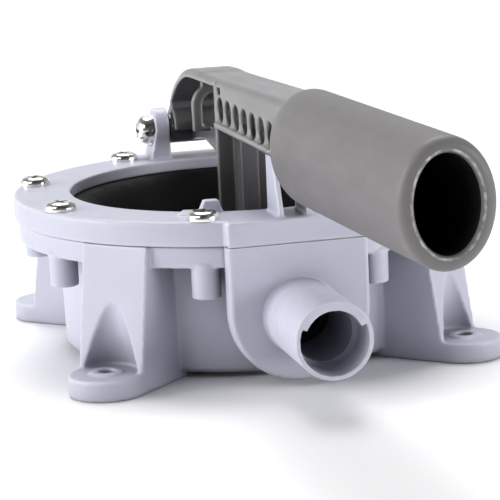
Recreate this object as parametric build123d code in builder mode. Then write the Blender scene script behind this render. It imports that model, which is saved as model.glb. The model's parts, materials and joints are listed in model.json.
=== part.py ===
from build123d import *
import os

os.makedirs("parts", exist_ok=True)

# Manual diaphragm bilge pump, in millimetres.
# Origin: centre of the four foot holes, on the plane the feet stand on.
# +Z is up. The outlet port and the lever's grip point to -Y, the inlet port to +Y.

# ---------------------------------------------------------------- driving dimensions
foot_square = 127.0            # side of the square of the four foot holes
foot_hole_radius = 2.75
foot_pad_height = 7.0
leg_angles = (45, 135, 225, 315)
leg_width = 26.2
leg_top_reach = 81.2           # distance of a leg's outer face from the axis, at the seam
leg_foot_reach = 87.6          # the same, at the top of the foot pad

ring_radius = 82.1
ring_hole_radius = 61.5
ring_top = 57.7
seam_height = 49.2             # where the clamp ring meets the body
ring_plate_thickness = 4.5

flange_radius = 80.6
flange_thickness = 7.4
bowl_radius = 67.0
bowl_wall = 3.2
bowl_bottom = 2.0
bowl_floor_thickness = 3.6
bowl_draft = 1.0               # how much narrower the bowl is at the bottom
bowl_chamfer = 1.5

screw_count = 8
screw_first_angle = 22.5
screw_circle_radius = 76.4
screw_head_radius = 5.5
screw_head_height = 3.0
screw_shank_radius = 2.1
boss_radius = 5.0
boss_bottom = 31.0

port_height = 24.7             # height of the axis of both ports
port_face = 82.8               # distance of a port plate's outer face from the axis
port_plate_width = 48.3
port_plate_thickness = 6.0
outlet_tail_radius = 12.9      # both tails take 25 mm (1 in) hose; the inlet's is an easier fit
inlet_tail_radius = 12.4
tail_length = 40.2
tail_bore_radius = 9.8

pivot_distance = 72.0          # distance of the lever's pivot behind the axis
pivot_height = 68.8
ear_gap = 22.6
ear_top_thickness = 5.6
pivot_radius = 3.2
washer_thickness = 1.2
washer_radius = 6.1
plate_nut_height = 5.0

plate_radius = 30.0            # the two plates that clamp the diaphragm
lower_plate_bottom = 17.0
plate_thickness = 3.0
diaphragm_thickness = 2.4
diaphragm_bead_radius = 72.2

grip_back = 91.0               # distances of the grip's two ends in front of the axis
grip_front = 238.0
grip_back_height = 83.6        # heights of the grip's axis at its two ends
grip_front_height = 87.0
grip_half_width = 14.0
grip_half_height = 18.2        # at the open end
grip_back_half_height = 19.2
grip_hollow_half_width = 9.3
grip_hollow_half_height = 13.7
grip_end_round = 2.4
grip_back_wall = 14.0           # solid length behind the grip's hollow
grip_shoulder_round = 9.8

fin_back = -64.5               # fins on the ring that the lever rests on
fin_front = -80.5
fin_top_front = -70.8
fin_top = 84.0

arch_y = 37.0                  # arched rib under the lever's strap
arch_spring = 81.7
arch_outer_radius = 8.4
arch_inner_radius = 4.7
arch_depth = 3.5
arch_foot = 72.0
arch_top = 94.0                # inside the strap
arch_neck_width = 9.0
arch_sill = 2.0

running_gap = 0.05             # radial clearance of a shaft in its bearing
rest_gap = 0.1                 # between a flap and its seat
fit_gap = 0.2                  # between parts that are pushed together
hole_gap = 0.1                 # round a bolt, a pilot hole's screw or the diaphragm's rim
thread_gap = 0.02              # round a bolt in a nut or a close hole
overlap = 1.0                  # how far a feature reaches into the next before they are fused

# ---------------------------------------------------------------- derived dimensions
flange_bottom = seam_height - flange_thickness
ring_plate_bottom = ring_top - ring_plate_thickness
foot_circle_radius = foot_square / 2 * 2 ** 0.5
port_back = port_face - port_plate_thickness
bowl_inner_radius = bowl_radius - bowl_wall
bowl_inside_floor = bowl_bottom + bowl_floor_thickness
diaphragm_centre_bottom = lower_plate_bottom + plate_thickness
diaphragm_centre_top = diaphragm_centre_bottom + diaphragm_thickness
upper_plate_top = diaphragm_centre_top + plate_thickness
grip_hollow_start = grip_back + grip_back_wall


def grip_axis_height(distance):
    """Height of the grip's axis at a distance in front of the origin."""
    share = (distance - grip_back) / (grip_front - grip_back)
    return grip_back_height + share * (grip_front_height - grip_back_height)


def finish(builder, name):
    """Label a finished piece and write it to its own STEP file."""
    builder.part.label = name
    export_step(builder.part, f"parts/{name}.step")


# ---------------------------------------------------------------- pump body
chamber_radius = 17.0          # bore that takes a valve seat
chamber_throat_radius = 14.8
chamber_half_width = 20.0
chamber_shoulder = 66.0
chamber_inner_reach = 50.0
bowl_corner = 6.0              # bevel inside the bowl, between its floor and wall
leg_inner_reach = 60.0
scoop_foot_radius = 11.3       # conical scoop above each foot hole, for the fixing screw's head
scoop_apex_height = 49.0
foot_ring_radius = 5.6
foot_ring_height = 0.8
tongue_thickness = 3.0
tongue_height = 2.0
tongue_half_width = 18.0
scoop_apex_radius = 1.0
scoop_height = scoop_apex_height - foot_pad_height
flat_cut = 20.0                # reach of the cutter that makes a flat on the flange
boss_floor = 2.0               # solid bottom of a boss, under its pilot hole

with BuildPart() as pump_body:
    # bowl, turned from its half section
    with BuildSketch(Plane.XZ):
        with BuildLine():
            Polyline(
                (0, bowl_bottom),
                (bowl_radius - bowl_draft - bowl_chamfer, bowl_bottom),
                (bowl_radius - bowl_draft, bowl_bottom + bowl_chamfer),
                (bowl_radius, seam_height),
                (0, seam_height),
                (0, bowl_bottom),
            )
        make_face()
    revolve(axis=Axis.Z)
    # rim flange
    with BuildSketch(Plane.XY.offset(flange_bottom)):
        Circle(flange_radius)
    extrude(amount=flange_thickness)
    # legs: radial ribs with a sloping outer face, each on a rounded foot pad
    for angle in leg_angles:
        leg_plane = Plane.XY.rotated((0, 0, angle))
        side_plane = Plane(origin=(0, 0, 0), x_dir=leg_plane.x_dir, z_dir=-leg_plane.y_dir)
        with BuildSketch(side_plane):
            with BuildLine():
                Polyline(
                    (leg_inner_reach, 0),
                    (leg_foot_reach, 0),
                    (leg_foot_reach, foot_pad_height),
                    (leg_top_reach, seam_height),
                    (leg_inner_reach, seam_height),
                    (leg_inner_reach, 0),
                )
            make_face()
        extrude(amount=leg_width / 2, both=True)
        with BuildSketch(leg_plane):
            with Locations((foot_circle_radius, 0)):
                Circle(leg_width / 2)
            with Locations((foot_circle_radius / 2 + leg_inner_reach / 2, 0)):
                Rectangle(foot_circle_radius - leg_inner_reach, leg_width)
        extrude(amount=foot_pad_height)
    # blind bosses for the clamp screws
    with BuildSketch(Plane.XY.offset(boss_bottom)):
        with PolarLocations(screw_circle_radius, screw_count, start_angle=screw_first_angle):
            Circle(boss_radius)
    extrude(amount=flange_bottom - boss_bottom + overlap)
    # valve chambers, front and back
    for side in (-1, 1):
        with BuildSketch(Plane.XZ.offset(-side * port_back)):
            with Locations((0, port_height)):
                Circle(chamber_half_width)
            with Locations((0, (port_height + seam_height) / 2)):
                Rectangle(2 * chamber_half_width, seam_height - port_height)
        extrude(amount=side * (port_back - chamber_inner_reach))
    # hollow of the bowl
    with BuildSketch(Plane.XZ):
        with BuildLine():
            Polyline(
                (0, bowl_inside_floor),
                (bowl_inner_radius - bowl_draft - bowl_corner, bowl_inside_floor),
                (bowl_inner_radius - bowl_draft, bowl_inside_floor + bowl_corner),
                (bowl_inner_radius, seam_height),
                (0, seam_height),
                (0, bowl_inside_floor),
            )
        make_face()
    revolve(axis=Axis.Z, mode=Mode.SUBTRACT)
    for side in (-1, 1):
        outward = Plane.XZ.offset(-side * port_back)
        # flat that the port plate lies on, cut into the flange
        with BuildSketch(Plane.XY.offset(flange_bottom)):
            with Locations((0, side * (port_back + flat_cut / 2))):
                Rectangle(port_plate_width + 2 * fit_gap, flat_cut)
        extrude(amount=flange_thickness, mode=Mode.SUBTRACT)
        # bore for the valve seat, and the throat behind its shoulder
        with BuildSketch(outward):
            with Locations((0, port_height)):
                Circle(chamber_radius)
        extrude(amount=side * (port_back - chamber_shoulder), mode=Mode.SUBTRACT)
        with BuildSketch(outward):
            with Locations((0, port_height)):
                Circle(chamber_throat_radius)
        extrude(amount=side * (port_back - chamber_inner_reach), mode=Mode.SUBTRACT)
    # conical scoops and the fixing holes in the feet
    for angle in leg_angles:
        leg_plane = Plane.XY.rotated((0, 0, angle))
        hole_x = foot_circle_radius * leg_plane.x_dir.X
        hole_y = foot_circle_radius * leg_plane.x_dir.Y
        with Locations((hole_x, hole_y, (foot_pad_height + scoop_apex_height) / 2)):
            Cone(scoop_foot_radius, scoop_apex_radius, scoop_height, mode=Mode.SUBTRACT)
        with Locations((hole_x, hole_y, foot_pad_height + foot_ring_height / 2)):
            Cylinder(foot_ring_radius, foot_ring_height)
        with Locations((hole_x, hole_y, foot_pad_height / 2)):
            Cylinder(foot_hole_radius, 3 * foot_pad_height, mode=Mode.SUBTRACT)
    # pilot holes of the clamp screws
    with BuildSketch(Plane.XY.offset(seam_height)):
        with PolarLocations(screw_circle_radius, screw_count, start_angle=screw_first_angle):
            Circle(screw_shank_radius + hole_gap)
    extrude(amount=boss_bottom + boss_floor - seam_height, mode=Mode.SUBTRACT)
finish(pump_body, "pump_body")

# ---------------------------------------------------------------- clamp ring
ear_base_outer = 19.2
ear_head_radius = 6.8
ear_head_rise = 1.5            # centre of an ear's round head above the pivot
ear_head_height = pivot_height + ear_head_rise
ear_base_half_depth = 7.8
ear_top = ear_head_height + ear_head_radius
ear_trim = 12.0                # reach of the cutter that shapes the ears
washer_seat_cut = 8.0          # reach of the cutter that makes the washers' flat seats
tab_half_width = port_plate_width / 2 - fit_gap
fin_thickness = 1.8
fin_toe = 1.8
fin_inner = 3.9
fin_lean = 0.5                 # how far a fin's back edge leans forward at its top
lug_height = 4.6
lug_outer = 28.4               # ends of a lug's foot, across the ring
lug_inner = 20.0
lug_top_outer = 26.6
lug_top_inner = 21.6
lug_depth = 3.5
lug_pad_length = 12.5
lug_pad_width = 8.0
lug_pad_place = (28.5, -60.5)
lug_pad_height = 1.0
lug_pad_root = 0.5             # depth of a pad's root in the ring
screw_hole_gap = 0.3           # round a screw in the ring
ring_edge_round = 0.9

with BuildPart() as clamp_ring:
    with BuildSketch(Plane.XY.offset(seam_height)):
        Circle(ring_radius)
        for side in (-1, 1):
            with Locations((0, side * port_face / 2)):
                Rectangle(2 * tab_half_width, port_face)
    extrude(amount=ring_top - seam_height)
    fillet(clamp_ring.edges().group_by(Axis.Z)[-1], radius=ring_edge_round)
    # seat for the diaphragm's rim, and the central hole
    with BuildSketch(Plane.XY.offset(seam_height)):
        Circle(diaphragm_bead_radius + hole_gap)
    extrude(amount=ring_plate_bottom - seam_height, mode=Mode.SUBTRACT)
    with BuildSketch(Plane.XY.offset(seam_height)):
        Circle(ring_hole_radius)
    extrude(amount=ring_top - seam_height, mode=Mode.SUBTRACT)
    # grooves that hold the port plates' tongues
    for side in (-1, 1):
        with BuildSketch(Plane.XY.offset(seam_height)):
            with Locations((0, side * (port_back + tongue_thickness / 2))):
                Rectangle(2 * (tongue_half_width + fit_gap), tongue_thickness + 2 * fit_gap)
        extrude(amount=tongue_height + fit_gap, mode=Mode.SUBTRACT)
    # ears of the lever's pivot
    for side in (-1, 1):
        with BuildSketch(Plane.XZ.offset(-pivot_distance - ear_base_half_depth)):
            with BuildLine():
                Polyline(
                    (side * ear_gap / 2, ring_top - overlap),
                    (side * ear_base_outer, ring_top - overlap),
                    (side * ear_base_outer, ring_top),
                    (side * (ear_gap / 2 + ear_top_thickness), pivot_height),
                    (side * (ear_gap / 2 + ear_top_thickness), ear_top),
                    (side * ear_gap / 2, ear_top),
                    (side * ear_gap / 2, ring_top - overlap),
                )
            make_face()
        extrude(amount=2 * ear_base_half_depth)
    # the ears' side outline: a round head on a tapering stem
    for side in (-1, 1):
        for half in (-1, 1):
            with BuildSketch(Plane.YZ.offset(side * ear_gap / 2)):
                with BuildLine():
                    stem_top = (pivot_distance + half * ear_head_radius, ear_head_height)
                    RadiusArc((pivot_distance, ear_top), stem_top, half * ear_head_radius)
                    Polyline(
                        stem_top,
                        (pivot_distance + half * ear_base_half_depth, ring_top),
                        (pivot_distance + half * ear_trim, ring_top),
                        (pivot_distance + half * ear_trim, ear_top + overlap),
                        (pivot_distance, ear_top + overlap),
                        (pivot_distance, ear_top),
                    )
                make_face()
            extrude(amount=side * ear_trim, mode=Mode.SUBTRACT)
    # flat seats for the washers, and the bolt's hole
    for side in (-1, 1):
        with BuildSketch(Plane.YZ.offset(side * (ear_gap / 2 + ear_top_thickness))):
            with Locations((pivot_distance, pivot_height)):
                Circle(washer_radius + fit_gap)
        extrude(amount=side * washer_seat_cut, mode=Mode.SUBTRACT)
    with Locations(Plane(origin=(0, pivot_distance, pivot_height), z_dir=(1, 0, 0))):
        Cylinder(pivot_radius + thread_gap, 3 * ear_base_outer, mode=Mode.SUBTRACT)
    # two fins that the lever rests on, each with a small toe in front
    for side in (-1, 1):
        fin_plane = Plane.YZ.offset(side * fin_inner)
        with BuildSketch(fin_plane):
            with BuildLine():
                Polyline(
                    (fin_back, ring_top - overlap),
                    (fin_front, ring_top - overlap),
                    (fin_front, ring_top + fin_toe),
                    (fin_top_front, fin_top),
                    (fin_back - fin_lean, fin_top),
                    (fin_back, ring_top - overlap),
                )
            make_face()
        extrude(amount=side * fin_thickness)
    # stop lugs at the hole's edge, on low pads
    for side in (-1, 1):
        with BuildSketch(Plane.XY.offset(ring_top - lug_pad_root)):
            with Locations((side * lug_pad_place[0], lug_pad_place[1])):
                Rectangle(lug_pad_length, lug_pad_width, rotation=side * screw_first_angle)
        extrude(amount=lug_pad_root + lug_pad_height)
        with BuildSketch(Plane.XZ.offset(ring_hole_radius)):
            with BuildLine():
                Polyline(
                    (side * lug_inner, ring_top),
                    (side * lug_outer, ring_top),
                    (side * lug_top_outer, ring_top + lug_height),
                    (side * lug_top_inner, ring_top + lug_height),
                    (side * lug_inner, ring_top),
                )
            make_face()
        extrude(amount=-lug_depth)
    # nothing on the ring reaches into the hole
    with BuildSketch(Plane.XY.offset(seam_height)):
        Circle(ring_hole_radius - fit_gap)
    extrude(amount=ring_top - seam_height, mode=Mode.SUBTRACT)
    # clearance holes of the clamp screws
    with BuildSketch(Plane.XY.offset(seam_height)):
        with PolarLocations(screw_circle_radius, screw_count, start_angle=screw_first_angle):
            Circle(screw_shank_radius + screw_hole_gap)
    extrude(amount=ring_top - seam_height + overlap, mode=Mode.SUBTRACT)
finish(clamp_ring, "clamp_ring")

# ---------------------------------------------------------------- clamp screws
recess_depth = 1.8
recess_length = 6.0
recess_width = 1.3
screw_tip = boss_bottom + 2 * boss_floor
screw_head_edge = 0.8          # height of the upright edge below the head's round

with BuildPart() as clamp_screws:
    with BuildSketch(Plane.XY.offset(ring_top)):
        with PolarLocations(screw_circle_radius, screw_count, start_angle=screw_first_angle):
            Circle(screw_head_radius)
    extrude(amount=screw_head_height)
    fillet(clamp_screws.edges().group_by(Axis.Z)[-1], radius=screw_head_height - screw_head_edge)
    with BuildSketch(Plane.XY.offset(screw_tip)):
        with PolarLocations(screw_circle_radius, screw_count, start_angle=screw_first_angle):
            Circle(screw_shank_radius)
    extrude(amount=ring_top - screw_tip)
    with BuildSketch(Plane.XY.offset(ring_top + screw_head_height)):
        with PolarLocations(screw_circle_radius, screw_count, start_angle=screw_first_angle):
            Rectangle(recess_length, recess_width)
            Rectangle(recess_width, recess_length)
    extrude(amount=-recess_depth, mode=Mode.SUBTRACT)
finish(clamp_screws, "clamp_screws")

# ---------------------------------------------------------------- ports
lip_bore_radius = 11.4         # wider bore round the lower part of the hose tail's end
lip_depth = 14.0
port_edge_round = 1.6
lip_arc = 132.0                # arc at the top that keeps the thick wall
groove_pitch = 3.2
groove_depth = 0.3
groove_width = 0.9
groove_start = 2.6             # distance of the first groove from the tail's end
chamber_gap = 0.15             # between a chamber's bore and what is pushed into it
spigot_radius = chamber_radius - chamber_gap
spigot_inner_radius = chamber_throat_radius
seat_thickness = 3.0
gasket_thickness = 1.0
seat_outer_face = chamber_shoulder + gasket_thickness + seat_thickness
recess_into_plate = 4.0
plate_arc_height = 26.4        # centre height of the plate's round bottom
tail_end = port_face + tail_length
plate_trim = 20.0              # reach of the cutter that levels the plate's top


def make_port(side, tail_radius):
    """A port plate with its hose tail; side is -1 for the front and 1 for the back."""
    with BuildPart() as port:
        outer = Plane.XZ.offset(-side * port_face)
        with BuildSketch(outer):
            with Locations((0, plate_arc_height)):
                Circle(port_plate_width / 2)
            with Locations((0, (plate_arc_height + seam_height) / 2)):
                Rectangle(port_plate_width, seam_height - plate_arc_height)
            with Locations((0, seam_height + plate_trim / 2)):
                Rectangle(port_plate_width, plate_trim, mode=Mode.SUBTRACT)
        extrude(amount=side * port_plate_thickness)
        rim = port.faces().sort_by(Axis.Y)[0 if side < 0 else -1].edges()
        fillet(rim.sort_by(Axis.Z)[:-1], radius=port_edge_round)
        # tongue under the clamp ring's tab
        with BuildSketch(Plane.XY.offset(seam_height - overlap)):
            with Locations((0, side * (port_back + tongue_thickness / 2))):
                Rectangle(2 * tongue_half_width, tongue_thickness)
        extrude(amount=overlap + tongue_height)
        # spigot that presses the valve seat home
        with BuildSketch(Plane.XZ.offset(-side * port_back)):
            with Locations((0, port_height)):
                Circle(spigot_radius)
        extrude(amount=side * (port_back - seat_outer_face))
        # hose tail with shallow grooves
        with BuildSketch(outer):
            with Locations((0, port_height)):
                Circle(tail_radius)
        extrude(amount=-side * tail_length)
        groove_count = int((tail_length - 2 * groove_start) / groove_pitch)
        for index in range(groove_count):
            groove_y = side * (tail_end - groove_start - groove_pitch * index)
            with BuildSketch(Plane.XZ.offset(-groove_y)):
                with Locations((0, port_height)):
                    Circle(tail_radius + overlap)
                    Circle(tail_radius - groove_depth, mode=Mode.SUBTRACT)
            extrude(amount=groove_width / 2, both=True, mode=Mode.SUBTRACT)
        # bores
        with BuildSketch(Plane.XZ.offset(-side * tail_end)):
            with Locations((0, port_height)):
                Circle(tail_bore_radius)
        extrude(amount=side * (tail_end - chamber_shoulder), mode=Mode.SUBTRACT)
        with BuildSketch(Plane.XZ.offset(-side * (port_back + recess_into_plate))):
            with Locations((0, port_height)):
                Circle(spigot_inner_radius)
        extrude(
            amount=side * (port_back + recess_into_plate - chamber_shoulder),
            mode=Mode.SUBTRACT,
        )
        with BuildSketch(Plane.XZ.offset(-side * tail_end)):
            with BuildLine():
                start = 90 + lip_arc / 2
                CenterArc((0, port_height), lip_bore_radius, start, 360 - lip_arc)
                Polyline(
                    (0, port_height)
                    + Vector(lip_bore_radius, 0).rotate(Axis.Z, start - lip_arc),
                    (0, port_height),
                    (0, port_height) + Vector(lip_bore_radius, 0).rotate(Axis.Z, start),
                )
            make_face()
        extrude(amount=side * lip_depth, mode=Mode.SUBTRACT)
    return port


outlet_port = make_port(-1, outlet_tail_radius)
finish(outlet_port, "outlet_port")
inlet_port = make_port(1, inlet_tail_radius)
finish(inlet_port, "inlet_port")

# ---------------------------------------------------------------- valves
# Both flaps hang from their top edge and swing to -Y, the way the water runs:
# the outlet flap on the outer side of its seat, the inlet flap on the inner side.
seat_radius = chamber_radius - chamber_gap
seat_opening_radius = 8.0
flap_radius = 10.4
flap_thickness = 1.5
hinge_rise = 11.2              # height of a flap's hinge above the port's axis
hinge_standoff = 1.65          # distance of the hinge's axis from the seat's face
hinge_eye_radius = 1.5
hinge_pin_radius = 0.8
hinge_eye_half_length = 4.0
hinge_lug_outer = 6.0
hinge_gap = 0.3                # between a flap's eye and the seat's lugs
hinge_height = port_height + hinge_rise
flap_neck_height = 3.0         # of the strip between a flap's disc and its eye


def make_valve(side, seat_face):
    """Gasket, seat, hinge pin and flap of one valve; the flap's side of the seat is at seat_face."""
    seat_back = seat_face + seat_thickness
    hinge_y = seat_face - hinge_standoff
    with BuildPart() as gasket:
        with BuildSketch(Plane.XZ.offset(-side * (chamber_shoulder + gasket_thickness))):
            with Locations((0, port_height)):
                Circle(seat_radius)
                Circle(chamber_throat_radius, mode=Mode.SUBTRACT)
        extrude(amount=side * gasket_thickness)
    with BuildPart() as seat:
        with BuildSketch(Plane.XZ.offset(-seat_back)):
            with Locations((0, port_height)):
                Circle(seat_radius)
                Circle(seat_opening_radius, mode=Mode.SUBTRACT)
        extrude(amount=seat_thickness)
        # lugs that carry the flap's hinge pin
        for lug_side in (-1, 1):
            with BuildSketch(Plane.YZ.offset(lug_side * (hinge_eye_half_length + hinge_gap))):
                with Locations((hinge_y, hinge_height)):
                    Circle(hinge_eye_radius + fit_gap)
                with Locations((hinge_y + hinge_standoff / 2 + hinge_gap, hinge_height)):
                    Rectangle(hinge_standoff + 2 * hinge_gap, 2 * (hinge_eye_radius + fit_gap))
            extrude(amount=lug_side * (hinge_lug_outer - hinge_eye_half_length - hinge_gap))
        with Locations(Plane(origin=(0, hinge_y, hinge_height), z_dir=(1, 0, 0))):
            Cylinder(hinge_pin_radius, 2 * hinge_lug_outer, mode=Mode.SUBTRACT)
    with BuildPart() as pin:
        with Locations(Plane(origin=(0, hinge_y, hinge_height), z_dir=(1, 0, 0))):
            Cylinder(hinge_pin_radius, 2 * hinge_lug_outer)
    with BuildPart() as flap:
        with BuildSketch(Plane.XZ.offset(-(seat_face - rest_gap))):
            with Locations((0, port_height)):
                Circle(flap_radius)
            with Locations((0, hinge_height - flap_neck_height / 2)):
                Rectangle(2 * hinge_eye_half_length, flap_neck_height)
        extrude(amount=flap_thickness)
        with Locations(Plane(origin=(0, hinge_y, hinge_height), z_dir=(1, 0, 0))):
            Cylinder(hinge_eye_radius, 2 * hinge_eye_half_length)
            Cylinder(
                hinge_pin_radius + running_gap,
                2 * hinge_eye_half_length,
                mode=Mode.SUBTRACT,
            )
    return gasket, seat, pin, flap


valves = {
    "outlet": make_valve(-1, -seat_outer_face),
    "inlet": make_valve(1, chamber_shoulder + gasket_thickness),
}
for valve_name, (gasket, seat, pin, flap) in valves.items():
    finish(gasket, f"{valve_name}_gasket")
    finish(seat, f"{valve_name}_valve_seat")
    finish(pin, f"{valve_name}_flap_pin")
    finish(flap, f"{valve_name}_flap")

# ---------------------------------------------------------------- diaphragm and its plates
bolt_radius = 3.0
bolt_hole_radius = bolt_radius + hole_gap
bolt_head_radius = 5.6
bolt_head_height = 4.0
fold_radius = 3.0
slope_outer_radius = ring_hole_radius - 2.0      # ends of the slope's upper surface
slope_inner_radius = plate_radius + 3.0
under_outer_radius = ring_hole_radius - 1.0      # ends of its lower surface
under_inner_radius = plate_radius + 1.5
rim_thickness = 3.0
bead_inner_radius = diaphragm_bead_radius - 8.0  # the rim is thicker outside this
plate_edge_round = 1.0

with BuildPart() as diaphragm:
    # half section: flat rim, a slope down to the plates, flat centre
    with BuildSketch(Plane.XZ):
        with BuildLine():
            upper = Polyline(
                (diaphragm_bead_radius, ring_plate_bottom),
                (slope_outer_radius, ring_plate_bottom),
                (slope_inner_radius, diaphragm_centre_top),
                (bolt_hole_radius, diaphragm_centre_top),
            )
            lower = Polyline(
                (bolt_hole_radius, diaphragm_centre_bottom),
                (under_inner_radius, diaphragm_centre_bottom),
                (under_outer_radius, ring_plate_bottom - rim_thickness),
                (bead_inner_radius, ring_plate_bottom - rim_thickness),
                (bead_inner_radius, seam_height),
                (diaphragm_bead_radius, seam_height),
            )
            Line(upper @ 1, lower @ 0)
            Line(lower @ 1, upper @ 0)
        make_face()
    revolve(axis=Axis.Z)
    slope_edges = diaphragm.edges().filter_by(GeomType.CIRCLE).filter_by(
        lambda edge: plate_radius < edge.radius < ring_hole_radius
    )
    fillet(slope_edges, radius=fold_radius)
finish(diaphragm, "diaphragm")

with BuildPart() as lower_plate:
    with BuildSketch(Plane.XY.offset(lower_plate_bottom)):
        Circle(plate_radius)
        Circle(bolt_hole_radius, mode=Mode.SUBTRACT)
    extrude(amount=plate_thickness - running_gap)
    rim = lower_plate.edges().filter_by(GeomType.CIRCLE).sort_by(SortBy.RADIUS)[-2:]
    fillet(rim, radius=plate_edge_round)
finish(lower_plate, "lower_diaphragm_plate")

with BuildPart() as upper_plate:
    with BuildSketch(Plane.XY.offset(diaphragm_centre_top + running_gap)):
        Circle(plate_radius)
        Circle(bolt_hole_radius, mode=Mode.SUBTRACT)
    extrude(amount=plate_thickness - running_gap)
    rim = upper_plate.edges().filter_by(GeomType.CIRCLE).sort_by(SortBy.RADIUS)[-2:]
    fillet(rim, radius=plate_edge_round)
finish(upper_plate, "upper_diaphragm_plate")

# ---------------------------------------------------------------- lever
ear_side_gap = 0.25            # between the barrel's ends and the ears
lever_back_half_width = ear_gap / 2 - ear_side_gap
lever_half_width = 9.4
channel_half_width = 7.2       # inside the beam
strap_thickness = 3.0
strap_end_slope = 1.6          # slope of the strap's upper curve at the barrel
strap_under_shift = 2.0        # how far the lower curve is moved forward
strap_root_y = pivot_distance - 3.0
channel_end_wall = 3.0
edge_tolerance = 0.1
barrel_radius = 5.9
strap_end_radius = 8.2         # the strap's end, wrapped round the barrel
top_edge_round = 2.8
bush_radius = 4.4
leg_front = -10.0
leg_plate_thickness = 3.0
leg_rib_front = -20.0
leg_rib_back = 9.0
leg_rib_half_width = 3.2
leg_web_half_width = 1.6
leg_web_bottom = 46.0          # clear of the nut on the plate bolt
leg_gusset_thickness = 1.6
leg_foot_thickness = 4.0
leg_floor = upper_plate_top
leg_foot_top = leg_floor + leg_foot_thickness
leg_foot_back = leg_rib_back + 3.0
leg_gusset_top = 43.0
web_start = leg_rib_back - overlap
web_bottom = 62.0              # the web between the leg and the barrel
web_top = 75.0
web_knee = 40.0                # the bend in its upper edge
web_knee_top = 73.0
web_under_knee = 46.0          # the bend in its lower edge
web_under_height = pivot_height - 2.0
web_end_top = pivot_height + 4.0
web_end_bottom = pivot_height - 5.0
nut_pocket_gap = 0.6
nut_pocket_radius = washer_radius + nut_pocket_gap
nut_headroom = 3.0
beam_rise = 0.030              # slope of the beam's top edge, up towards the grip
ledge_rise = 0.010
beam_top = 96.7                # heights where the beam meets the leg's front
ledge_top = 81.4
ledge_bottom = 79.2
ledge_half_width = 10.6
beam_end = -grip_hollow_start
channel_end = beam_end + channel_end_wall
hole_count = 7
hole_pitch = 11.8
hole_first = -16.4
hole_radius = 4.4
hole_height = 86.2
slot_length = 4.8
slot_height = 92.8
tang_end = -165.0
tang_half_width = 9.1
tang_half_height = 13.4
tang_wall = 2.8
# points of the strap's upper curve, from behind the barrel to the leg, in the YZ plane
strap_outline = [
    (79.0, 73.2),
    (71.5, 82.6),
    (61.0, 89.4),
    (49.0, 93.9),
    (38.0, 95.6),
    (20.0, 96.3),
]


def beam_height(base, rise, y):
    """Height of a beam edge at y, from its height at the leg's front and its slope."""
    return base + rise * (leg_front - y)


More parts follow.
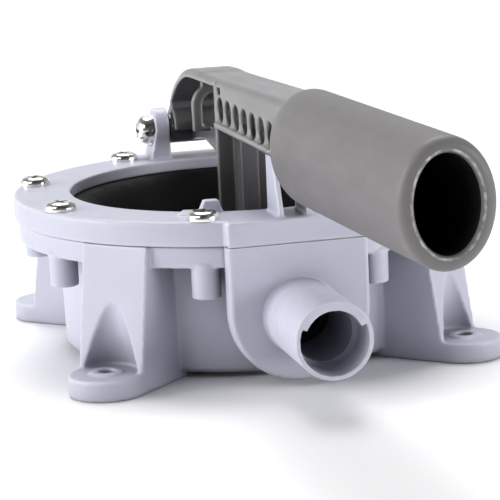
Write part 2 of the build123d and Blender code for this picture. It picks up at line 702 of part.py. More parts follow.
with BuildPart() as lever:
    # strap and beam from the side: the strap's curve, the beam's top edge, and the undersides
    with BuildSketch(Plane.YZ):
        with BuildLine():
            upper = Spline(
                *strap_outline,
                (leg_front, beam_top),
                tangents=((-1, strap_end_slope), (-1, beam_rise)),
            )
            Polyline(
                (leg_front, beam_top),
                (beam_end, beam_height(beam_top, beam_rise, beam_end)),
                (beam_end, beam_height(ledge_bottom, ledge_rise, beam_end)),
                (leg_front, ledge_bottom),
                (leg_front + leg_plate_thickness, ledge_bottom),
                (leg_front + leg_plate_thickness, beam_top - strap_thickness),
            )
            under_points = [
                (y - strap_under_shift, z - strap_thickness) for y, z in strap_outline[1:-1]
            ]
            under = Spline(*under_points)
            Line(under @ 0, (strap_root_y, pivot_height))
            Line((strap_root_y, pivot_height), upper @ 0)
            Line(under @ 1, (leg_front + leg_plate_thickness, beam_top - strap_thickness))
        make_face()
    extrude(amount=lever_half_width, both=True)
    # rounded edges along the top
    top_faces = lever.faces().filter_by(lambda face: face.normal_at().Z > 0.5)
    side_edges = [
        edge
        for edge in top_faces.edges()
        if abs(abs(edge.center().X) - lever_half_width) < edge_tolerance
    ]
    fillet(side_edges, radius=top_edge_round)
    # channel of the beam, open below
    with BuildSketch(Plane.YZ):
        with BuildLine():
            Polyline(
                (leg_front, beam_top - strap_thickness),
                (leg_front, ledge_bottom - overlap),
                (channel_end, ledge_bottom - overlap),
                (channel_end, beam_height(beam_top, beam_rise, beam_end) - strap_thickness),
                (leg_front, beam_top - strap_thickness),
            )
        make_face()
    extrude(amount=channel_half_width, both=True, mode=Mode.SUBTRACT)
    # leg down to the diaphragm: a cross plate with a rib in front and a web behind
    with BuildSketch(Plane.XY.offset(leg_floor)):
        with Locations((0, leg_front + leg_plate_thickness / 2)):
            Rectangle(2 * lever_half_width, leg_plate_thickness)
        with Locations((0, (leg_front + leg_rib_front) / 2)):
            Rectangle(2 * leg_rib_half_width, leg_front - leg_rib_front)
    extrude(amount=beam_top - overlap - leg_floor)
    with BuildSketch(Plane.XY.offset(leg_web_bottom)):
        with Locations((0, (leg_front + leg_rib_back) / 2)):
            Rectangle(2 * leg_web_half_width, leg_rib_back - leg_front)
    extrude(amount=beam_top - overlap - leg_web_bottom)
    # foot of the leg on the upper plate, with a gusset at each side
    with BuildSketch(Plane.XY.offset(leg_floor)):
        with Locations((0, (leg_rib_front + leg_foot_back) / 2)):
            Rectangle(2 * lever_half_width, leg_foot_back - leg_rib_front)
    extrude(amount=leg_foot_thickness)
    for side in (-1, 1):
        with BuildSketch(Plane.YZ.offset(side * lever_half_width)):
            with BuildLine():
                Polyline(
                    (leg_front, leg_floor),
                    (leg_foot_back, leg_floor),
                    (leg_foot_back, leg_foot_top),
                    (leg_front, leg_gusset_top),
                    (leg_front, leg_floor),
                )
            make_face()
        extrude(amount=-side * leg_gusset_thickness)
    # pocket for the nut and washer on the plate bolt
    with BuildSketch(Plane.XY.offset(leg_foot_top)):
        Circle(nut_pocket_radius)
    extrude(amount=washer_thickness + plate_nut_height + nut_headroom, mode=Mode.SUBTRACT)
    # ledges along the beam's lower edges
    for side in (-1, 1):
        with BuildSketch(Plane.YZ.offset(side * channel_half_width)):
            with BuildLine():
                Polyline(
                    (leg_front, ledge_bottom),
                    (beam_end, beam_height(ledge_bottom, ledge_rise, beam_end)),
                    (beam_end, beam_height(ledge_top, ledge_rise, beam_end)),
                    (leg_front, ledge_top),
                    (leg_front, ledge_bottom),
                )
            make_face()
        extrude(amount=side * (ledge_half_width - channel_half_width))
    # row of round holes through both walls, and a small slot above the first
    with BuildSketch(Plane.YZ):
        for index in range(hole_count):
            with Locations((hole_first - hole_pitch * index, hole_height)):
                Circle(hole_radius)
        with Locations((leg_front - slot_length, slot_height)):
            Rectangle(slot_length, slot_length / 2)
    extrude(amount=ledge_half_width + overlap, both=True, mode=Mode.SUBTRACT)
    # bulkhead in the beam that comes to rest on the ring's fins
    with BuildSketch(Plane.YZ):
        with Locations(((fin_back + fin_top_front) / 2, (fin_top + rest_gap + beam_top) / 2)):
            Rectangle(fin_back - fin_top_front, beam_top - fin_top - rest_gap)
    extrude(amount=channel_half_width + overlap, both=True)
    # pivot barrel
    with Locations(Plane(origin=(0, pivot_distance, pivot_height), z_dir=(1, 0, 0))):
        Cylinder(barrel_radius, 2 * lever_back_half_width)
    # the strap's end, wrapped over the top half of the barrel, and a web from it to the leg
    with BuildSketch(Plane.YZ):
        with Locations((pivot_distance, pivot_height)):
            Circle(strap_end_radius)
        with Locations((pivot_distance, pivot_height - strap_end_radius)):
            Rectangle(2 * strap_end_radius, 2 * strap_end_radius, mode=Mode.SUBTRACT)
    extrude(amount=lever_half_width, both=True)
    with BuildSketch(Plane.YZ):
        with BuildLine():
            Polyline(
                (web_start, web_bottom),
                (web_start, web_top),
                (web_knee, web_knee_top),
                (pivot_distance, web_end_top),
                (pivot_distance, web_end_bottom),
                (web_under_knee, web_under_height),
                (web_start, web_bottom),
            )
        make_face()
    extrude(amount=leg_web_half_width, both=True)
    # arched rib with a sill, between the web's top and the strap
    with BuildSketch(Plane.XZ.offset(-arch_y)):
        with Locations((0, arch_spring)):
            Circle(arch_outer_radius)
        with Locations((0, (arch_foot + arch_spring) / 2)):
            Rectangle(2 * arch_outer_radius, arch_spring - arch_foot)
        with Locations((0, (arch_spring + arch_top) / 2)):
            Rectangle(arch_neck_width, arch_top - arch_spring)
        with Locations((0, arch_spring)):
            Circle(arch_inner_radius, mode=Mode.SUBTRACT)
        with Locations((0, (arch_foot + arch_sill + arch_spring) / 2)):
            Rectangle(
                2 * arch_inner_radius,
                arch_spring - arch_foot - arch_sill,
                mode=Mode.SUBTRACT,
            )
    extrude(amount=arch_depth)
    # tang inside the grip, hollow from its end
    for y in (beam_end, tang_end):
        with BuildSketch(Plane.XZ.offset(-y)):
            with Locations((0, grip_axis_height(-y))):
                Ellipse(tang_half_width, tang_half_height)
    loft()
    for y in (beam_end - overlap, tang_end):
        with BuildSketch(Plane.XZ.offset(-y)):
            with Locations((0, grip_axis_height(-y))):
                Ellipse(tang_half_width - tang_wall, tang_half_height - tang_wall)
    loft(mode=Mode.SUBTRACT)
    # bores for the bush and the plate bolt
    with Locations(Plane(origin=(0, pivot_distance, pivot_height), z_dir=(1, 0, 0))):
        Cylinder(bush_radius, 2 * ear_gap, mode=Mode.SUBTRACT)
    with Locations((0, 0, leg_floor)):
        Cylinder(bolt_hole_radius, 4 * leg_foot_thickness, mode=Mode.SUBTRACT)
finish(lever, "lever")

# ---------------------------------------------------------------- grip
with BuildPart() as grip:
    grip_ends = ((grip_back, grip_back_half_height), (grip_front, grip_half_height))
    for distance, half_height in grip_ends:
        with BuildSketch(Plane.XZ.offset(distance)):
            with Locations((0, grip_axis_height(distance))):
                Ellipse(grip_half_width, half_height)
    loft()
    fillet(grip.faces().sort_by(Axis.Y)[-1].edges(), radius=grip_shoulder_round)
    fillet(grip.faces().sort_by(Axis.Y)[0].edges(), radius=grip_end_round)
    for distance in (grip_hollow_start, grip_front):
        with BuildSketch(Plane.XZ.offset(distance)):
            with Locations((0, grip_axis_height(distance))):
                Ellipse(grip_hollow_half_width, grip_hollow_half_height)
    loft(mode=Mode.SUBTRACT)
    # opening in the back end that the beam passes through
    add(lever.part, mode=Mode.SUBTRACT)
finish(grip, "grip")

# ---------------------------------------------------------------- pivot hardware
pivot_head_radius = 5.5
pivot_head_height = 5.0
pivot_head_edge = 1.4          # height of the upright edge below the head's round
pivot_recess_depth = 2.2
pivot_nut_width = 10.0
pivot_nut_height = 5.0
pivot_bolt_tip = 1.5           # thread that shows past the nut
ear_outer = ear_gap / 2 + ear_top_thickness
washer_stack = ear_outer + washer_thickness

with BuildPart() as pivot_bush:
    with Locations(Plane(origin=(0, pivot_distance, pivot_height), z_dir=(1, 0, 0))):
        Cylinder(bush_radius, 2 * lever_back_half_width)
        Cylinder(pivot_radius + running_gap, 2 * lever_back_half_width, mode=Mode.SUBTRACT)
finish(pivot_bush, "pivot_bush")

pivot_axis_left = Plane(
    origin=(-washer_stack, pivot_distance, pivot_height),
    z_dir=(-1, 0, 0),
)
with BuildPart() as pivot_bolt:
    with BuildSketch(pivot_axis_left):
        Circle(pivot_head_radius)
    extrude(amount=pivot_head_height)
    fillet(pivot_bolt.edges().group_by(Axis.X)[0], radius=pivot_head_height - pivot_head_edge)
    with BuildSketch(pivot_axis_left):
        Circle(pivot_radius)
    extrude(amount=-(2 * washer_stack + pivot_nut_height + pivot_bolt_tip))
    with BuildSketch(pivot_axis_left.offset(pivot_head_height)):
        Rectangle(recess_length, recess_width)
        Rectangle(recess_width, recess_length)
    extrude(amount=-pivot_recess_depth, mode=Mode.SUBTRACT)
finish(pivot_bolt, "pivot_bolt")

with BuildPart() as pivot_washers:
    for side in (-1, 1):
        with BuildSketch(Plane.YZ.offset(side * ear_outer)):
            with Locations((pivot_distance, pivot_height)):
                Circle(washer_radius)
                Circle(pivot_radius + hole_gap, mode=Mode.SUBTRACT)
        extrude(amount=side * washer_thickness)
finish(pivot_washers, "pivot_washers")

with BuildPart() as pivot_nut:
    with BuildSketch(Plane.YZ.offset(washer_stack)):
        with Locations((pivot_distance, pivot_height)):
            RegularPolygon(pivot_nut_width / 2, 6, major_radius=False)
            Circle(pivot_radius + thread_gap, mode=Mode.SUBTRACT)
    extrude(amount=pivot_nut_height)
finish(pivot_nut, "pivot_nut")

# ---------------------------------------------------------------- hardware of the diaphragm plates
plate_bolt_tip = 2.0           # thread that shows past the nut

with BuildPart() as plate_bolt:
    with BuildSketch(Plane.XY.offset(lower_plate_bottom - bolt_head_height)):
        RegularPolygon(bolt_head_radius, 6)
    extrude(amount=bolt_head_height)
    with BuildSketch(Plane.XY.offset(lower_plate_bottom)):
        Circle(bolt_radius)
    extrude(
        amount=leg_foot_top
        + washer_thickness
        + plate_nut_height
        + plate_bolt_tip
        - lower_plate_bottom
    )
finish(plate_bolt, "plate_bolt")

with BuildPart() as plate_washer:
    with BuildSketch(Plane.XY.offset(leg_foot_top)):
        Circle(washer_radius)
        Circle(bolt_hole_radius, mode=Mode.SUBTRACT)
    extrude(amount=washer_thickness)
finish(plate_washer, "plate_washer")

with BuildPart() as plate_nut:
    with BuildSketch(Plane.XY.offset(leg_foot_top + washer_thickness)):
        RegularPolygon(bolt_head_radius, 6)
        Circle(bolt_radius + thread_gap, mode=Mode.SUBTRACT)
    extrude(amount=plate_nut_height)
finish(plate_nut, "plate_nut")
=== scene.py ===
import json
import math

import bmesh
import bpy
from mathutils import Matrix, Vector


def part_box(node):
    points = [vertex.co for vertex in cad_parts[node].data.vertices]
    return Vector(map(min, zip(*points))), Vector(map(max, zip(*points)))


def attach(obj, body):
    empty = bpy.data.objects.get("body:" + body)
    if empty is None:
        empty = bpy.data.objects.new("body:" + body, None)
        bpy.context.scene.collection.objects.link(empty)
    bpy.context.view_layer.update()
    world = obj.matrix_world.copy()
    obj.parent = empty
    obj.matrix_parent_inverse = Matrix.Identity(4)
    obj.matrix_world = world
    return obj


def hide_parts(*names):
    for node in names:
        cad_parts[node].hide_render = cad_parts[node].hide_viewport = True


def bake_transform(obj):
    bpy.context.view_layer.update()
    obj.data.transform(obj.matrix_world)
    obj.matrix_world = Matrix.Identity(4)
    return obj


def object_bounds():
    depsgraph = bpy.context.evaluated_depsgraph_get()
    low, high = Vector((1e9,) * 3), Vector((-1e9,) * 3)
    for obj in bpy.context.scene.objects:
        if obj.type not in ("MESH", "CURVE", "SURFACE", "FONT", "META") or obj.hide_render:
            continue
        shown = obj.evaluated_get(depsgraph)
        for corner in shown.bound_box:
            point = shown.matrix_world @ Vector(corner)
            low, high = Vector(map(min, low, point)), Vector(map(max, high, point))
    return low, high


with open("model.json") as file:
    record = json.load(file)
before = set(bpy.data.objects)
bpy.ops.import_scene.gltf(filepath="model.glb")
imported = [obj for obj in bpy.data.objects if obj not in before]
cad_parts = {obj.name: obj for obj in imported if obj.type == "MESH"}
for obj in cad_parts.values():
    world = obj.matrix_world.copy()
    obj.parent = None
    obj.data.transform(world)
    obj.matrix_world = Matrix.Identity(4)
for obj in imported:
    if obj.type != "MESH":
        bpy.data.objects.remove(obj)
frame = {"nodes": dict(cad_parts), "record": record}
cad_low, cad_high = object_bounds()
nodes = frame["nodes"]

# Lengths are metres, in the part's own frame: +Z up, the grip and the outlet towards -Y.
MM = 0.001

QUARTER_TURN = math.pi / 2
FULL_TURN = 2 * math.pi


# ---------------------------------------------------------------- materials
class Finish:
    """A material whose node tree is built up in steps, on object coordinates."""

    noise_low = 0.3                # most of a noise's values lie between these two
    noise_high = 0.7
    flat_pointiness = 0.50
    sharp_pointiness = 0.56
    deep_shelter = 0.12            # share of open surroundings deep in a recess
    slight_shelter = 0.72          # share where a recess begins to show

    def __init__(self, name, colour, roughness, metallic=0.0):
        self.material = bpy.data.materials.new(name)
        self.material.use_nodes = True
        self.tree = self.material.node_tree
        self.shader = self.tree.nodes["Principled BSDF"]
        self.shader.inputs["Base Color"].default_value = (*colour, 1.0)
        self.shader.inputs["Roughness"].default_value = roughness
        self.shader.inputs["Metallic"].default_value = metallic
        self.place = self.tree.nodes.new("ShaderNodeTexCoord").outputs["Object"]
        self.normal = None

    def node(self, kind, **settings):
        made = self.tree.nodes.new(kind)
        for key, value in settings.items():
            setattr(made, key, value)
        return made

    def link(self, source, target):
        self.tree.links.new(source, target)

    def stretched(self, x=1.0, y=1.0, z=1.0):
        """Object coordinates scaled along each axis, for marks that run one way."""
        mapping = self.node("ShaderNodeMapping")
        mapping.inputs["Scale"].default_value = (x, y, z)
        self.link(self.place, mapping.inputs["Vector"])
        return mapping.outputs["Vector"]

    def noise(self, size, detail=3.0, place=None):
        """Noise whose lumps are about size metres across."""
        texture = self.node("ShaderNodeTexNoise")
        texture.inputs["Scale"].default_value = 1.0 / size
        texture.inputs["Detail"].default_value = detail
        self.link(place or self.place, texture.inputs["Vector"])
        return texture.outputs["Fac"]

    def cells(self, size):
        """Distance to the nearest of many scattered points, for specks."""
        texture = self.node("ShaderNodeTexVoronoi")
        texture.inputs["Scale"].default_value = 1.0 / size
        self.link(self.place, texture.inputs["Vector"])
        return texture.outputs["Distance"]

    def span(self, value, from_low, from_high, to_low, to_high):
        """value moved from one range to another, and held inside it."""
        step = self.node("ShaderNodeMapRange", clamp=True)
        step.inputs["From Min"].default_value = from_low
        step.inputs["From Max"].default_value = from_high
        step.inputs["To Min"].default_value = to_low
        step.inputs["To Max"].default_value = to_high
        self.link(value, step.inputs["Value"])
        return step.outputs["Result"]

    def tint(self, colour, mask, start, full, most=1.0):
        """The base colour turns to colour by up to most, as mask goes from start to full."""
        mix = self.node("ShaderNodeMix", data_type="RGBA")
        base = self.shader.inputs["Base Color"]
        if base.is_linked:
            self.link(base.links[0].from_socket, mix.inputs["A"])
        else:
            mix.inputs["A"].default_value = base.default_value
        mix.inputs["B"].default_value = (*colour, 1.0)
        self.link(self.span(mask, start, full, 0.0, most), mix.inputs["Factor"])
        self.link(mix.outputs["Result"], base)

    def tint_edges(self, colour):
        """Convex edges turn to colour, as where they are rubbed."""
        pointiness = self.node("ShaderNodeNewGeometry").outputs["Pointiness"]
        self.tint(colour, pointiness, self.flat_pointiness, self.sharp_pointiness)

    def paint_recess_shade(self, colour, reach):
        """Painted shade: corners and recesses, within reach metres, are darkened towards colour
        by ambient occlusion.
        """
        shelter = self.node("ShaderNodeAmbientOcclusion", samples=8)
        shelter.inputs["Distance"].default_value = reach
        self.tint(colour, shelter.outputs["AO"], self.slight_shelter, self.deep_shelter)

    def vary_roughness(self, noise, low, high):
        roughness = self.span(noise, self.noise_low, self.noise_high, low, high)
        self.link(roughness, self.shader.inputs["Roughness"])

    def bump(self, height, depth):
        """Adds a relief of about depth metres on top of the reliefs already there."""
        relief = self.node("ShaderNodeBump")
        relief.inputs["Distance"].default_value = depth
        self.link(height, relief.inputs["Height"])
        if self.normal:
            self.link(self.normal, relief.inputs["Normal"])
        self.normal = relief.outputs["Normal"]
        self.link(self.normal, self.shader.inputs["Normal"])


def moulded_plastic(name, colour, shade, worn, painted_recess_shade, roughness, grain, along_y=1.0):
    """Satin moulded plastic: drifting shade, fine grain, specks, rubbed edges, and painted shade
    in recesses.

    Marks are drawn out along Y where along_y is under 1, as on a long moulding.
    """
    finish = Finish(name, colour, roughness)
    drawn = finish.stretched(y=along_y)
    drift = finish.noise(size=30 * MM, detail=3.0, place=drawn)
    mottle = finish.noise(size=3 * MM, detail=6.0, place=drawn)
    gloss = finish.noise(size=6 * MM, detail=5.0, place=drawn)
    finish.tint(shade, drift, start=0.35, full=0.75, most=0.6)
    finish.tint(shade, mottle, start=0.5, full=0.8, most=0.35)
    finish.tint(shade, finish.cells(size=9 * MM), start=0.05, full=0.03, most=0.5)
    finish.tint_edges(worn)
    # painted shade: recesses darkened by ambient occlusion
    finish.paint_recess_shade(painted_recess_shade, reach=20 * MM)
    finish.vary_roughness(gloss, low=roughness - 0.05, high=roughness + 0.07)
    finish.bump(finish.noise(size=0.45 * MM), depth=grain)
    finish.bump(finish.noise(size=5 * MM, detail=2.0, place=drawn), depth=0.6 * grain)
    return finish


def body_plastic():
    """Pale blue-grey plastic that lets a little light in."""
    finish = moulded_plastic(
        "body_plastic_look",
        colour=(0.490, 0.497, 0.590),
        shade=(0.450, 0.457, 0.542),
        worn=(0.565, 0.572, 0.660),
        # colour of the painted shade in recesses
        painted_recess_shade=(0.22, 0.225, 0.265),
        roughness=0.40,
        grain=0.02 * MM,
    )
    finish.shader.inputs["Subsurface Weight"].default_value = 0.05
    finish.shader.inputs["Subsurface Scale"].default_value = 2 * MM
    return finish.material


def lever_plastic():
    """Dark grey plastic with a soft sheen and faint lengthwise streaks."""
    finish = moulded_plastic(
        "lever_plastic_look",
        colour=(0.078, 0.073, 0.077),
        shade=(0.066, 0.062, 0.066),
        worn=(0.20, 0.195, 0.195),
        # colour of the painted shade in recesses
        painted_recess_shade=(0.012, 0.0115, 0.014),
        roughness=0.36,
        grain=0.015 * MM,
        along_y=0.25,
    )
    finish.shader.inputs["Coat Weight"].default_value = 0.6
    finish.shader.inputs["Coat Roughness"].default_value = 0.32
    streaks = finish.noise(size=1.2 * MM, detail=4.0, place=finish.stretched(y=0.04))
    finish.tint((0.18, 0.175, 0.175), streaks, start=0.62, full=0.8, most=0.4)
    return finish.material


def grip_plastic():
    """Mid-grey plastic, dull, with scuffs that run along the grip."""
    finish = moulded_plastic(
        "grip_plastic_look",
        colour=(0.118, 0.111, 0.114),
        shade=(0.108, 0.102, 0.105),
        worn=(0.21, 0.205, 0.20),
        # colour of the painted shade in recesses
        painted_recess_shade=(0.05, 0.048, 0.048),
        roughness=0.50,
        grain=0.008 * MM,
        along_y=0.25,
    )
    scuffs = finish.noise(size=2.5 * MM, detail=8.0, place=finish.stretched(y=0.25, z=0.6))
    finish.tint((0.12, 0.117, 0.115), scuffs, start=0.62, full=0.80, most=0.3)
    return finish.material


def bore_painted_shade():
    """Painted shade: the near-black wall inside the grip, darker than the plastic to stand for
    the shade deep in the bore.
    """
    finish = Finish("grip_bore_painted_shade_look", colour=(0.009, 0.009, 0.009), roughness=0.7)
    finish.shader.inputs["Specular IOR Level"].default_value = 0.15
    patches = finish.noise(size=4 * MM, detail=5.0)
    drag_marks = finish.noise(size=1.5 * MM, place=finish.stretched(y=0.1))
    finish.tint((0.014, 0.0137, 0.0132), patches, start=0.45, full=0.8, most=0.6)
    finish.vary_roughness(finish.noise(size=3 * MM, detail=4.0), low=0.6, high=0.8)
    finish.bump(drag_marks, depth=0.02 * MM)
    return finish.material


def rubbed_and_highlight_plastic():
    """The grip's inner lip, pale in places: partly polished by handling and partly a painted
    highlight.
    """
    finish = Finish("grip_lip_look", colour=(0.15, 0.145, 0.145), roughness=0.35)
    patches = finish.noise(size=2.5 * MM, detail=6.0)
    finish.tint((0.52, 0.51, 0.50), patches, start=0.42, full=0.62, most=0.85)
    finish.vary_roughness(patches, low=0.45, high=0.22)
    finish.bump(finish.noise(size=0.8 * MM, detail=5.0), depth=0.03 * MM)
    return finish.material


def rubber():
    """Black rubber with a soft bloom and a slightly uneven face."""
    finish = Finish("rubber_look", colour=(0.004, 0.004, 0.0045), roughness=0.7)
    finish.shader.inputs["Specular IOR Level"].default_value = 0.1
    bloom = finish.noise(size=12 * MM, detail=5.0)
    finish.tint((0.008, 0.0078, 0.0075), bloom, start=0.5, full=0.8, most=0.5)
    finish.vary_roughness(finish.noise(size=8 * MM, detail=4.0), low=0.55, high=0.75)
    finish.bump(finish.noise(size=0.6 * MM), depth=0.03 * MM)
    finish.bump(finish.noise(size=5 * MM), depth=0.10 * MM)
    return finish.material


def bright_steel():
    """Polished stainless steel with light stains."""
    finish = Finish("bright_steel_look", (0.82, 0.81, 0.78), roughness=0.14, metallic=1.0)
    stains = finish.noise(size=2 * MM, detail=5.0)
    finish.tint((0.62, 0.60, 0.56), stains, start=0.5, full=0.75, most=0.5)
    finish.vary_roughness(finish.noise(size=1.0 * MM, detail=6.0), low=0.08, high=0.26)
    finish.bump(finish.noise(size=1.5 * MM, detail=6.0), depth=0.02 * MM)
    return finish.material


def plate_steel():
    """Rolled steel sheet, brushed one way."""
    finish = Finish("plate_steel_look", (0.56, 0.56, 0.56), roughness=0.34, metallic=1.0)
    stains = finish.noise(size=9 * MM, detail=5.0)
    brushed = finish.noise(size=0.5 * MM, place=finish.stretched(y=0.03))
    finish.tint((0.40, 0.39, 0.38), stains, start=0.45, full=0.8, most=0.6)
    finish.vary_roughness(brushed, low=0.26, high=0.44)
    finish.bump(brushed, depth=0.015 * MM)
    return finish.material


def valve_plastic():
    """The grey plastic of the flap valves and their seats."""
    return moulded_plastic(
        "valve_plastic_look",
        colour=(0.34, 0.35, 0.37),
        shade=(0.28, 0.29, 0.31),
        worn=(0.45, 0.46, 0.48),
        # colour of the painted shade in recesses
        painted_recess_shade=(0.10, 0.10, 0.11),
        roughness=0.45,
        grain=0.03 * MM,
    ).material


def bush_plastic():
    """The cream plastic of the pivot's bush."""
    return moulded_plastic(
        "bush_plastic_look",
        colour=(0.62, 0.60, 0.54),
        shade=(0.52, 0.50, 0.45),
        worn=(0.72, 0.70, 0.65),
        # colour of the painted shade in recesses
        painted_recess_shade=(0.20, 0.19, 0.17),
        roughness=0.40,
        grain=0.02 * MM,
    ).material


def floor_finish():
    """A plain off-white floor."""
    finish = Finish("floor_look", colour=(0.91, 0.91, 0.915), roughness=0.7)
    finish.tint((0.885, 0.885, 0.895), finish.noise(size=0.35), start=0.4, full=0.7, most=0.5)
    finish.bump(finish.noise(size=2 * MM, detail=4.0), depth=0.02 * MM)
    return finish.material


looks = {
    "body_plastic": body_plastic(),
    "lever_plastic": lever_plastic(),
    "grip_plastic": grip_plastic(),
    "rubber": rubber(),
    "bright_steel": bright_steel(),
    "plate_steel": plate_steel(),
    "valve_plastic": valve_plastic(),
    "bush_plastic": bush_plastic(),
}
slot_of = {part["node"]: part["material_slot"] for part in frame["record"]["subparts"]}
body_of = {
    node: body
    for body, members in frame["record"]["behaviour"]["bodies"].items()
    for node in members
}


def dress(piece, slot):
    """Give a piece the look of one of the record's material slots."""
    piece.data.materials.clear()
    piece.data.materials.append(looks[slot])


for node, cad_piece in nodes.items():
    dress(cad_piece, slot_of[node])


# ---------------------------------------------------------------- pieces
def new_piece(name, mesh):
    piece = bpy.data.objects.new(name, mesh)
    bpy.context.scene.collection.objects.link(piece)
    return piece


def new_mesh(name, working):
    """A mesh made from a bmesh, which is freed."""
    mesh = bpy.data.meshes.new(name)
    working.to_mesh(mesh)
    working.free()
    return mesh


def place(piece, node):
    """Let a finished piece stand for a CAD node: same body, same slot, same look."""
    dress(piece, slot_of[node])
    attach(piece, body_of[node])
    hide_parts(node)


def apply_modifiers(piece):
    """Replace the piece's mesh with the one its modifiers make, smooth shaded."""
    evaluated = piece.evaluated_get(bpy.context.evaluated_depsgraph_get())
    finished = bpy.data.meshes.new_from_object(evaluated)
    piece.modifiers.clear()
    piece.data = finished
    for face in finished.polygons:
        face.use_smooth = True


def moulded(node, voxel, rounds, share):
    """A CAD node as it leaves the mould, with every edge and corner slightly rounded.

    The shape is resampled at the voxel size, smoothed for a number of rounds, and thinned
    to a share of its faces.
    """
    weld_distance = 0.001 * MM
    working = bmesh.new()
    working.from_mesh(nodes[node].data)
    bmesh.ops.remove_doubles(working, verts=working.verts, dist=weld_distance)
    piece = new_piece(f"{node}_moulding", new_mesh(f"{node}_moulding", working))
    remesh = piece.modifiers.new("resample", "REMESH")
    remesh.mode = "VOXEL"
    remesh.voxel_size = voxel
    smooth = piece.modifiers.new("round", "SMOOTH")
    smooth.factor = 0.5
    smooth.iterations = rounds
    thin = piece.modifiers.new("thin", "DECIMATE")
    thin.ratio = share
    apply_modifiers(piece)
    place(piece, node)


moulded("pump_body", voxel=0.55 * MM, rounds=5, share=0.35)
moulded("clamp_ring", voxel=0.50 * MM, rounds=4, share=0.35)
moulded("outlet_port", voxel=0.30 * MM, rounds=2, share=0.35)
moulded("inlet_port", voxel=0.30 * MM, rounds=2, share=0.35)
moulded("lever", voxel=0.45 * MM, rounds=4, share=0.4)


def quarter_arc(steps):
    """(sine, cosine) at even steps from 0 to 90 degrees."""
    angles = [QUARTER_TURN * step / steps for step in range(steps + 1)]
    return [(math.sin(angle), math.cos(angle)) for angle in angles]


def turned(name, outline, segments):
    """A closed solid of revolution about Z; outline is a closed list of (radius, height)."""
    working = bmesh.new()
    loops = []
    for step in range(segments):
        angle = FULL_TURN * step / segments
        loops.append([
            working.verts.new((r * math.cos(angle), r * math.sin(angle), z)) for r, z in outline
        ])
    for here, there in zip(loops, loops[1:] + loops[:1]):
        for index in range(len(outline)):
            after = (index + 1) % len(outline)
            working.faces.new((here[index], there[index], there[after], here[after]))
    bmesh.ops.recalc_face_normals(working, faces=working.faces)
    mesh = new_mesh(name, working)
    for face in mesh.polygons:
        face.use_smooth = True
    return new_piece(name, mesh)


def grip_sleeve():
    """The grip: a tapering elliptical tube with a domed shoulder and a rounded open end."""
    low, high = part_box("grip")
    half_width = high.x
    back_half_height = 19.2 * MM
    front_half_height = 18.2 * MM
    back_axis = low.z + back_half_height
    front_axis = high.z - front_half_height
    length = high.y - low.y
    shoulder = 19 * MM             # length of the dome
    shoulder_top = 0.42            # size of the dome's flat end, as a share of the section
    rim = 3.0 * MM                 # rounding of the open end's outer edge
    lip = 1.2 * MM                 # rounding of its inner edge
    bore_half_width = 9.3 * MM
    bore_half_height = 13.7 * MM
    bore_depth = 70 * MM
    around = 128                   # faces around the sleeve
    arc_steps = 10                 # strips in each rounding
    straight_steps = 24            # strips along the outside, and along the bore
    # the lip's pale strips are rubbed wear and partly a painted highlight
    rubbed_highlight_steps = 4               # strips of the lip that are rubbed pale
    # the bore's faces take a near-black painted shade
    outer_slot, bore_shade_slot, rubbed_highlight_slot = 0, 1, 2

    def section(distance):
        """Centre height and half height of the sleeve at a distance from its back end."""
        share = distance / length
        centre_height = back_axis + share * (front_axis - back_axis)
        return centre_height, back_half_height + share * (front_half_height - back_half_height)

    rings = []                     # (distance from the back end, half width, half height)
    for sine, cosine in quarter_arc(arc_steps):
        distance = shoulder * (1 - cosine)
        size = shoulder_top + (1 - shoulder_top) * sine
        rings.append((distance, half_width * size, section(distance)[1] * size))
    for step in range(1, straight_steps):
        distance = shoulder + (length - rim - shoulder) * step / straight_steps
        rings.append((distance, half_width, section(distance)[1]))
    for sine, cosine in quarter_arc(arc_steps):
        inset = rim * (1 - cosine)
        distance = length - rim + rim * sine
        rings.append((distance, half_width - inset, front_half_height - inset))
    lip_start = len(rings)
    for sine, cosine in quarter_arc(arc_steps):
        outset = lip * (1 - sine)
        distance = length - lip + lip * cosine
        rings.append((distance, bore_half_width + outset, bore_half_height + outset))
    bore_start = len(rings) - 1
    for step in range(1, straight_steps + 1):
        distance = length - lip - (bore_depth - lip) * step / straight_steps
        rings.append((distance, bore_half_width, bore_half_height))

    working = bmesh.new()
    loops = []
    for distance, across, upright in rings:
        centre_height = section(distance)[0]
        loop = []
        for step in range(around):
            angle = FULL_TURN * step / around
            x = across * math.cos(angle)
            z = centre_height + upright * math.sin(angle)
            loop.append(working.verts.new((x, high.y - distance, z)))
        loops.append(loop)
    finishes = []                  # material slot of each face, in the order they are made
    for index, (here, there) in enumerate(zip(loops, loops[1:])):
        for step in range(around):
            after = (step + 1) % around
            working.faces.new((here[step], here[after], there[after], there[step]))
        if index >= bore_start:
            finishes += [bore_shade_slot] * around
        elif lip_start <= index < lip_start + rubbed_highlight_steps:
            finishes += [rubbed_highlight_slot] * around
        else:
            finishes += [outer_slot] * around
    working.faces.new(loops[0])
    working.faces.new(loops[-1])
    finishes += [outer_slot, bore_shade_slot]
    bmesh.ops.recalc_face_normals(working, faces=working.faces)
    mesh = new_mesh("grip_sleeve", working)
    place(new_piece("grip_sleeve", mesh), "grip")
    # near-black painted shade for the bore
    mesh.materials.append(bore_painted_shade())
    # lip strips: rubbed wear and painted highlight
    mesh.materials.append(rubbed_and_highlight_plastic())
    for face, finish in zip(mesh.polygons, finishes):
        face.use_smooth = len(face.vertices) == 4      # not the two flat ends
        face.material_index = finish


grip_sleeve()


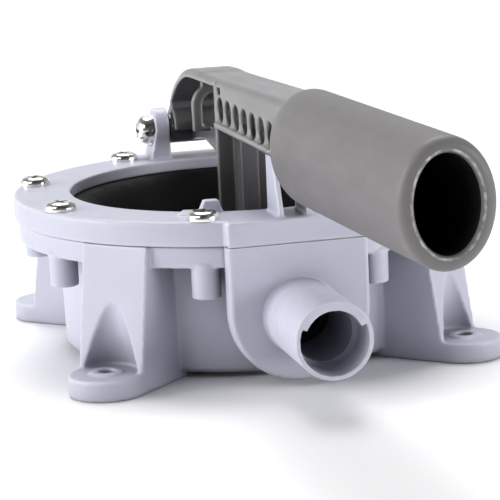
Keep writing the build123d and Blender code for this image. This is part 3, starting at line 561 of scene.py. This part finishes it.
def diaphragm_skin():
    """The rubber diaphragm: a flat rim, a rolled fold down to the plates and a flat centre."""
    low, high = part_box("diaphragm")
    plate_low, plate_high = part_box("upper_diaphragm_plate")
    bead_radius = high.x
    bead_width = 8 * MM            # the rim is thicker outside this
    rim_top = high.z
    rim_bottom = rim_top - 3 * MM
    bead_bottom = rim_top - 4 * MM
    flat_start = 62 * MM           # the rim's upper side is flat outside this
    fold_start = 59 * MM
    fold_end = plate_high.x + 2 * MM
    fold_lean = 0.6                # how far the underside is set in, as a share of the thickness
    bolt_hole = 3.1 * MM
    centre_top = plate_low.z
    thickness = 2.4 * MM
    ripple_height = 0.9 * MM
    steps = 24
    segments = 160
    upper = [(bead_radius, rim_top), (flat_start, rim_top)]
    lower = []
    for step in range(steps + 1):
        share = step / steps
        fall = (rim_top - centre_top) * share * share * (3 - 2 * share)     # level at both ends
        ripple = ripple_height * math.sin(FULL_TURN * share) * math.sin(math.pi * share)
        radius = fold_start + share * (fold_end - fold_start)
        upper.append((radius, rim_top - fall + ripple))
        lower.append((radius - fold_lean * thickness, rim_top - thickness - fall + ripple))
    lower[0] = (fold_start, rim_bottom)
    centre = [(bolt_hole, centre_top), (bolt_hole, centre_top - thickness)]
    bead = [
        (bead_radius - bead_width, rim_bottom),
        (bead_radius - bead_width, bead_bottom),
        (bead_radius, bead_bottom),
    ]
    skin = turned("diaphragm_skin", upper + centre + lower[::-1] + bead, segments)
    dress(skin, "rubber")
    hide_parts("diaphragm")
    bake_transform(skin)


diaphragm_skin()


# ---------------------------------------------------------------- camera, light and floor
def add_camera(position, yaw, pitch, roll, lens, sensor_width):
    """A camera that looks along +Y when its yaw, pitch and roll (degrees) are all 0."""
    yaw, pitch, roll = (math.radians(angle) for angle in (yaw, pitch, roll))
    forward = Vector((
        math.sin(yaw) * math.cos(pitch),
        math.cos(yaw) * math.cos(pitch),
        math.sin(pitch),
    ))
    level_right = Vector((math.cos(yaw), -math.sin(yaw), 0.0))
    level_up = level_right.cross(forward)
    right = level_right * math.cos(roll) + level_up * math.sin(roll)
    up = level_up * math.cos(roll) - level_right * math.sin(roll)
    turn = Matrix((right, up, -forward)).transposed().to_4x4()
    camera = new_piece("camera", bpy.data.cameras.new("camera"))
    camera.data.lens = lens
    camera.data.sensor_width = sensor_width
    camera.matrix_world = Matrix.Translation(position) @ turn
    bpy.context.scene.camera = camera


def add_sun(name, direction, strength, spread):
    """Even light from far away, in the direction given; spread (degrees) softens its shadows."""
    lamp = bpy.data.lights.new(name, "SUN")
    lamp.energy = strength
    lamp.angle = math.radians(spread)
    light = new_piece(name, lamp)
    light.rotation_euler = Vector(direction).to_track_quat("Z", "Y").to_euler()


def add_soft_box(name, offset, target, size, power):
    """A square lamp that faces its target, for the long highlights on metal and plastic."""
    lamp = bpy.data.lights.new(name, "AREA")
    lamp.size = size
    lamp.energy = power
    light = new_piece(name, lamp)
    light.location = target + Vector(offset)
    light.rotation_euler = (-Vector(offset)).to_track_quat("-Z", "Y").to_euler()


def add_floor(reach, divisions):
    """A pale floor just under the feet, wide enough for every view."""
    gap = 0.02 * MM
    working = bmesh.new()
    bmesh.ops.create_grid(working, x_segments=divisions, y_segments=divisions, size=reach)
    bmesh.ops.translate(working, verts=working.verts, vec=(0, 0, cad_low.z - gap))
    floor = new_piece("floor", new_mesh("floor", working))
    floor.data.materials.append(floor_finish())


def add_world(zenith, horizon, front):
    """A plain studio sky: pale behind and beside the object, dimmer overhead and in front.

    front is the brightness of the half towards -Y, as a share of the half towards +Y.
    """
    world = bpy.data.worlds.new("studio")
    world.use_nodes = True
    tree = world.node_tree
    direction = tree.nodes.new("ShaderNodeTexCoord").outputs["Generated"]
    split = tree.nodes.new("ShaderNodeSeparateXYZ")
    tree.links.new(direction, split.inputs["Vector"])

    def fade(axis, start, end, start_value, end_value):
        """A brightness that changes from one value to another along an axis."""
        step = tree.nodes.new("ShaderNodeMapRange")
        step.inputs["From Min"].default_value = start
        step.inputs["From Max"].default_value = end
        step.inputs["To Min"].default_value = start_value
        step.inputs["To Max"].default_value = end_value
        tree.links.new(split.outputs[axis], step.inputs["Value"])
        return step.outputs["Result"]

    upwards = fade("Z", start=0.10, end=0.60, start_value=horizon, end_value=zenith)
    backwards = fade("Y", start=-0.70, end=0.20, start_value=front, end_value=1.0)
    strength = tree.nodes.new("ShaderNodeMath")
    strength.operation = "MULTIPLY"
    tree.links.new(upwards, strength.inputs[0])
    tree.links.new(backwards, strength.inputs[1])
    background = tree.nodes["Background"]
    background.inputs["Color"].default_value = (0.97, 0.98, 1.0, 1.0)
    tree.links.new(strength.outputs["Value"], background.inputs["Strength"])
    bpy.context.scene.world = world


add_floor(reach=6.0, divisions=24)
add_world(zenith=0.25, horizon=0.98, front=0.15)
add_sun("overhead", direction=(0.10, 0.50, 1.00), strength=2.5, spread=40.0)
add_sun("left", direction=(-0.96, 0.08, 0.26), strength=2.45, spread=40.0)
add_sun("right_fill", direction=(0.80, -0.58, 0.14), strength=2.2, spread=35.0)
add_soft_box(
    "left_box",
    offset=(-0.9, -0.5, 0.7),
    target=(cad_low + cad_high) / 2,
    size=0.5,
    power=2.5,
)
add_camera(
    position=Vector((-182.2, -775.5, 189.5)) * MM,
    yaw=13.44,
    pitch=-11.21,
    roll=-2.67,
    lens=158.8,
    sensor_width=36.0,
)
bpy.context.scene.view_settings.view_transform = "Standard"
